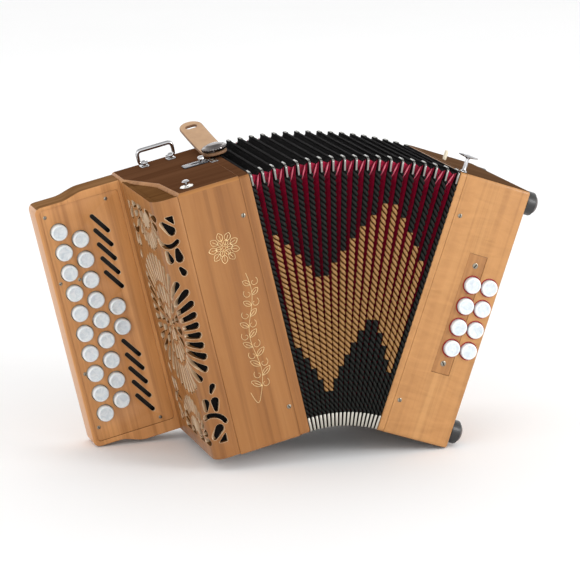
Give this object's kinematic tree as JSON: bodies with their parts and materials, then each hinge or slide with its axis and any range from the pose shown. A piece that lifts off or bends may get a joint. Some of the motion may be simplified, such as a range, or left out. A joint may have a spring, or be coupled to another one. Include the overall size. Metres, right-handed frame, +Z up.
{
  "type": "button accordion",
  "caption": "Diatonic button accordion with wooden casings, fanned bellows, round treble and bass buttons, a pierced grille and leather straps.",
  "frame": {"origin": "bottom centre of the standing instrument", "axes": "+X from the treble end to the bass end, +Y from the front face to the back, +Z up"},
  "size_m": [0.4482, 0.1804, 0.2918],
  "materials": {
    "case_wood": "satin varnished cherry",
    "board_wood": "plain spruce and beech",
    "bellows_cloth": "black cloth with gold trim and red leather",
    "pearl": "polished pearl plastic",
    "chrome": "polished",
    "dark_metal": "black nickel",
    "screw_steel": "bright steel",
    "lever_metal": "bare",
    "tan_leather": "natural veg tan",
    "black_leather": "black",
    "foot_rubber": "black with a chrome dome"
  },
  "bodies": {
    "treble": {"treble_bellows_frame": "case_wood", "treble_casing": "case_wood", "treble_soundboard": "board_wood", "pallets_and_levers": "lever_metal", "treble_reed_blocks": "board_wood", "grille_cover": "case_wood", "keyboard_body": "case_wood", "keyboard_plate": "case_wood", "button_guide": "board_wood", "treble_screws": "screw_steel", "register_plate": "dark_metal", "bail_bracket": "chrome", "strap_snap": "chrome", "rosette_stud": "chrome"},
    "register_slide": {"register_slide": "chrome"},
    "strap_bail": {"strap_bail": "chrome"},
    "bellows_strap": {"bellows_strap": "tan_leather"},
    "treble_button_01": {"treble_button_01": "pearl"},
    "treble_button_02": {"treble_button_02": "pearl"},
    "treble_button_03": {"treble_button_03": "pearl"},
    "treble_button_04": {"treble_button_04": "pearl"},
    "treble_button_05": {"treble_button_05": "pearl"},
    "treble_button_06": {"treble_button_06": "pearl"},
    "treble_button_07": {"treble_button_07": "pearl"},
    "treble_button_08": {"treble_button_08": "pearl"},
    "treble_button_09": {"treble_button_09": "pearl"},
    "treble_button_10": {"treble_button_10": "pearl"},
    "treble_button_11": {"treble_button_11": "pearl"},
    "treble_button_12": {"treble_button_12": "pearl"},
    "treble_button_13": {"treble_button_13": "pearl"},
    "treble_button_14": {"treble_button_14": "pearl"},
    "treble_button_15": {"treble_button_15": "pearl"},
    "treble_button_16": {"treble_button_16": "pearl"},
    "treble_button_17": {"treble_button_17": "pearl"},
    "treble_button_18": {"treble_button_18": "pearl"},
    "treble_button_19": {"treble_button_19": "pearl"},
    "treble_button_20": {"treble_button_20": "pearl"},
    "treble_button_21": {"treble_button_21": "pearl"},
    "section_1": {"bellows_section_1": "bellows_cloth"},
    "section_2": {"bellows_section_2": "bellows_cloth"},
    "section_3": {"bellows_section_3": "bellows_cloth"},
    "section_4": {"bellows_section_4": "bellows_cloth"},
    "section_5": {"bellows_section_5": "bellows_cloth"},
    "bass": {"bass_bellows_frame": "case_wood", "bass_casing": "case_wood", "bass_button_plate": "case_wood", "bass_screws": "screw_steel", "bass_feet": "foot_rubber", "bass_reed_pan": "board_wood", "hand_strap": "black_leather", "bass_top_studs": "chrome"},
    "air_button": {"air_button": "pearl"},
    "bass_button_1": {"bass_button_1": "pearl"},
    "bass_button_2": {"bass_button_2": "pearl"},
    "bass_button_3": {"bass_button_3": "pearl"},
    "bass_button_4": {"bass_button_4": "pearl"},
    "bass_button_5": {"bass_button_5": "pearl"},
    "bass_button_6": {"bass_button_6": "pearl"},
    "bass_button_7": {"bass_button_7": "pearl"},
    "bass_button_8": {"bass_button_8": "pearl"}
  },
  "joints": [
    {"name": "fan_1", "type": "hinge", "parent": "treble", "child": "section_1", "pos_m": [0.00282, -0.08524, 0.03005], "axis": [0, 1, 0], "range_deg": [-5.32, 3]},
    {"name": "fan_2", "type": "hinge", "parent": "section_1", "child": "section_2", "pos_m": [0.01358, -0.08524, 0.03135], "axis": [0, 1, 0], "range_deg": [-5.32, 3]},
    {"name": "fan_3", "type": "hinge", "parent": "section_2", "child": "section_3", "pos_m": [0.02441, -0.08524, 0.03164], "axis": [0, 1, 0], "range_deg": [-5.32, 3]},
    {"name": "fan_4", "type": "hinge", "parent": "section_3", "child": "section_4", "pos_m": [0.03522, -0.08524, 0.03092], "axis": [0, 1, 0], "range_deg": [-5.32, 3]},
    {"name": "fan_5", "type": "hinge", "parent": "section_4", "child": "section_5", "pos_m": [0.04592, -0.08524, 0.0292], "axis": [0, 1, 0], "range_deg": [-5.32, 3]},
    {"name": "bellows_fan", "type": "hinge", "parent": "section_5", "child": "bass", "pos_m": [0.05642, -0.08524, 0.0265], "axis": [0, 1, 0], "range_deg": [-5.32, 3]},
    {"name": "treble_press_01", "type": "slide", "parent": "treble", "child": "treble_button_01", "axis": [0, 1, 0], "range_m": [0, 0.0035], "stiffness_N_per_m": 120, "springref_m": -0.005},
    {"name": "treble_press_02", "type": "slide", "parent": "treble", "child": "treble_button_02", "axis": [0, 1, 0], "range_m": [0, 0.0035], "stiffness_N_per_m": 120, "springref_m": -0.005},
    {"name": "treble_press_03", "type": "slide", "parent": "treble", "child": "treble_button_03", "axis": [0, 1, 0], "range_m": [0, 0.0035], "stiffness_N_per_m": 120, "springref_m": -0.005},
    {"name": "treble_press_04", "type": "slide", "parent": "treble", "child": "treble_button_04", "axis": [0, 1, 0], "range_m": [0, 0.0035], "stiffness_N_per_m": 120, "springref_m": -0.005},
    {"name": "treble_press_05", "type": "slide", "parent": "treble", "child": "treble_button_05", "axis": [0, 1, 0], "range_m": [0, 0.0035], "stiffness_N_per_m": 120, "springref_m": -0.005},
    {"name": "treble_press_06", "type": "slide", "parent": "treble", "child": "treble_button_06", "axis": [0, 1, 0], "range_m": [0, 0.0035], "stiffness_N_per_m": 120, "springref_m": -0.005},
    {"name": "treble_press_07", "type": "slide", "parent": "treble", "child": "treble_button_07", "axis": [0, 1, 0], "range_m": [0, 0.0035], "stiffness_N_per_m": 120, "springref_m": -0.005},
    {"name": "treble_press_08", "type": "slide", "parent": "treble", "child": "treble_button_08", "axis": [0, 1, 0], "range_m": [0, 0.0035], "stiffness_N_per_m": 120, "springref_m": -0.005},
    {"name": "treble_press_09", "type": "slide", "parent": "treble", "child": "treble_button_09", "axis": [0, 1, 0], "range_m": [0, 0.0035], "stiffness_N_per_m": 120, "springref_m": -0.005},
    {"name": "treble_press_10", "type": "slide", "parent": "treble", "child": "treble_button_10", "axis": [0, 1, 0], "range_m": [0, 0.0035], "stiffness_N_per_m": 120, "springref_m": -0.005},
    {"name": "treble_press_11", "type": "slide", "parent": "treble", "child": "treble_button_11", "axis": [0, 1, 0], "range_m": [0, 0.0035], "stiffness_N_per_m": 120, "springref_m": -0.005},
    {"name": "treble_press_12", "type": "slide", "parent": "treble", "child": "treble_button_12", "axis": [0, 1, 0], "range_m": [0, 0.0035], "stiffness_N_per_m": 120, "springref_m": -0.005},
    {"name": "treble_press_13", "type": "slide", "parent": "treble", "child": "treble_button_13", "axis": [0, 1, 0], "range_m": [0, 0.0035], "stiffness_N_per_m": 120, "springref_m": -0.005},
    {"name": "treble_press_14", "type": "slide", "parent": "treble", "child": "treble_button_14", "axis": [0, 1, 0], "range_m": [0, 0.0035], "stiffness_N_per_m": 120, "springref_m": -0.005},
    {"name": "treble_press_15", "type": "slide", "parent": "treble", "child": "treble_button_15", "axis": [0, 1, 0], "range_m": [0, 0.0035], "stiffness_N_per_m": 120, "springref_m": -0.005},
    {"name": "treble_press_16", "type": "slide", "parent": "treble", "child": "treble_button_16", "axis": [0, 1, 0], "range_m": [0, 0.0035], "stiffness_N_per_m": 120, "springref_m": -0.005},
    {"name": "treble_press_17", "type": "slide", "parent": "treble", "child": "treble_button_17", "axis": [0, 1, 0], "range_m": [0, 0.0035], "stiffness_N_per_m": 120, "springref_m": -0.005},
    {"name": "treble_press_18", "type": "slide", "parent": "treble", "child": "treble_button_18", "axis": [0, 1, 0], "range_m": [0, 0.0035], "stiffness_N_per_m": 120, "springref_m": -0.005},
    {"name": "treble_press_19", "type": "slide", "parent": "treble", "child": "treble_button_19", "axis": [0, 1, 0], "range_m": [0, 0.0035], "stiffness_N_per_m": 120, "springref_m": -0.005},
    {"name": "treble_press_20", "type": "slide", "parent": "treble", "child": "treble_button_20", "axis": [0, 1, 0], "range_m": [0, 0.0035], "stiffness_N_per_m": 120, "springref_m": -0.005},
    {"name": "treble_press_21", "type": "slide", "parent": "treble", "child": "treble_button_21", "axis": [0, 1, 0], "range_m": [0, 0.0035], "stiffness_N_per_m": 120, "springref_m": -0.005},
    {"name": "bass_press_1", "type": "slide", "parent": "bass", "child": "bass_button_1", "axis": [0, 1, 0], "range_m": [0, 0.0035], "stiffness_N_per_m": 120, "springref_m": -0.005},
    {"name": "bass_press_2", "type": "slide", "parent": "bass", "child": "bass_button_2", "axis": [0, 1, 0], "range_m": [0, 0.0035], "stiffness_N_per_m": 120, "springref_m": -0.005},
    {"name": "bass_press_3", "type": "slide", "parent": "bass", "child": "bass_button_3", "axis": [0, 1, 0], "range_m": [0, 0.0035], "stiffness_N_per_m": 120, "springref_m": -0.005},
    {"name": "bass_press_4", "type": "slide", "parent": "bass", "child": "bass_button_4", "axis": [0, 1, 0], "range_m": [0, 0.0035], "stiffness_N_per_m": 120, "springref_m": -0.005},
    {"name": "bass_press_5", "type": "slide", "parent": "bass", "child": "bass_button_5", "axis": [0, 1, 0], "range_m": [0, 0.0035], "stiffness_N_per_m": 120, "springref_m": -0.005},
    {"name": "bass_press_6", "type": "slide", "parent": "bass", "child": "bass_button_6", "axis": [0, 1, 0], "range_m": [0, 0.0035], "stiffness_N_per_m": 120, "springref_m": -0.005},
    {"name": "bass_press_7", "type": "slide", "parent": "bass", "child": "bass_button_7", "axis": [0, 1, 0], "range_m": [0, 0.0035], "stiffness_N_per_m": 120, "springref_m": -0.005},
    {"name": "bass_press_8", "type": "slide", "parent": "bass", "child": "bass_button_8", "axis": [0, 1, 0], "range_m": [0, 0.0035], "stiffness_N_per_m": 120, "springref_m": -0.005},
    {"name": "register_shift", "type": "slide", "parent": "treble", "child": "register_slide", "axis": [-0.9775, 0, -0.211], "range_m": [0, 0.008]},
    {"name": "bail_swing", "type": "hinge", "parent": "treble", "child": "strap_bail", "pos_m": [-0.10365, 0.05376, 0.26543], "axis": [0.9775, 0, 0.211], "range_deg": [-80, 85]},
    {"name": "strap_swivel", "type": "hinge", "parent": "treble", "child": "bellows_strap", "pos_m": [-0.05869, 0.01276, 0.27514], "axis": [-0.211, 0, 0.9775], "range_deg": [-91, 18]},
    {"name": "air_press", "type": "slide", "parent": "bass", "child": "air_button", "axis": [-0.9411, 0, 0.3381], "range_m": [0, 0.004], "stiffness_N_per_m": 150, "springref_m": -0.006}
  ],
  "couplings": [
    {"joint": "fan_1", "follows": "bellows_fan", "ratio": 1},
    {"joint": "fan_2", "follows": "bellows_fan", "ratio": 1},
    {"joint": "fan_3", "follows": "bellows_fan", "ratio": 1},
    {"joint": "fan_4", "follows": "bellows_fan", "ratio": 1},
    {"joint": "fan_5", "follows": "bellows_fan", "ratio": 1}
  ]
}
